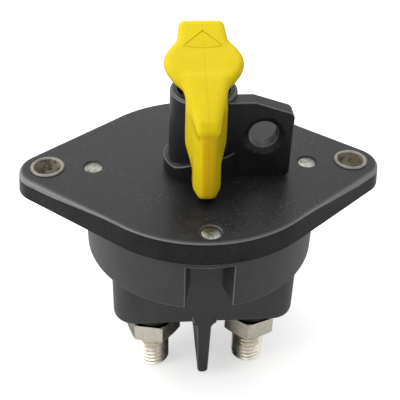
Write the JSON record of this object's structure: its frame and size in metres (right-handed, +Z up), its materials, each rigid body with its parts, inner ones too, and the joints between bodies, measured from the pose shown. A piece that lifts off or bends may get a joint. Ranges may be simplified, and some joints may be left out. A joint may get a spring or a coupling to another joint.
{
  "type": "battery disconnect switch",
  "caption": "Panel-mounted battery disconnect switch: black diamond flange, yellow turning handle with lockout ear, dark round housing with threaded studs below.",
  "frame": {"origin": "middle between the two mounting holes, on the flange's underside, where the handle's axis crosses it", "axes": "+X from the left to the right mounting hole as seen from the front, +Y to the back (the studs are towards the front), +Z up out of the panel along the handle's axis"},
  "size_m": [0.1366, 0.096, 0.1324],
  "materials": {
    "cover_plastic": "moulded black plastic, fine matt grain, light dust",
    "housing_plastic": "moulded dark grey plastic, matt",
    "handle_plastic": "moulded yellow plastic, satin",
    "terminal_metal": "plated, slightly warm, satin",
    "washer_steel": "plated steel, satin",
    "sleeve_steel": "turned steel, stained inside",
    "rivet_aluminium": "bright, slightly scratched",
    "shaft_steel": "turned steel",
    "spring_steel": "spring steel, oiled",
    "bush_bronze": "sintered bronze",
    "black_rubber": "black rubber",
    "inner_plastic": "plain moulded plastic",
    "contact_copper": "bare copper"
  },
  "bodies": {
    "base": {"cover": "cover_plastic", "sleeve_left": "sleeve_steel", "sleeve_right": "sleeve_steel", "side_rivets": "rivet_aluminium", "end_rivets": "rivet_aluminium", "cover_gasket": "black_rubber", "housing": "housing_plastic", "stud_left": "terminal_metal", "stud_right": "terminal_metal", "stud_seals": "black_rubber", "flat_washers": "washer_steel", "lock_washers": "washer_steel", "terminal_nuts": "terminal_metal", "shaft_bush": "bush_bronze", "shaft_seal": "black_rubber", "thrust_washer": "inner_plastic"},
    "turning": {"handle": "handle_plastic", "drive_shaft": "shaft_steel", "retaining_clip": "spring_steel", "rotor": "inner_plastic", "rotor_washer": "shaft_steel", "rotor_screw": "shaft_steel", "contact_bar": "contact_copper", "contact_spring": "spring_steel"}
  },
  "joints": [
    {"name": "handle_turn", "type": "hinge", "parent": "base", "child": "turning", "pos_m": [0, 0, 0], "axis": [0, 0, 1], "range_deg": [-90, 0]}
  ]
}
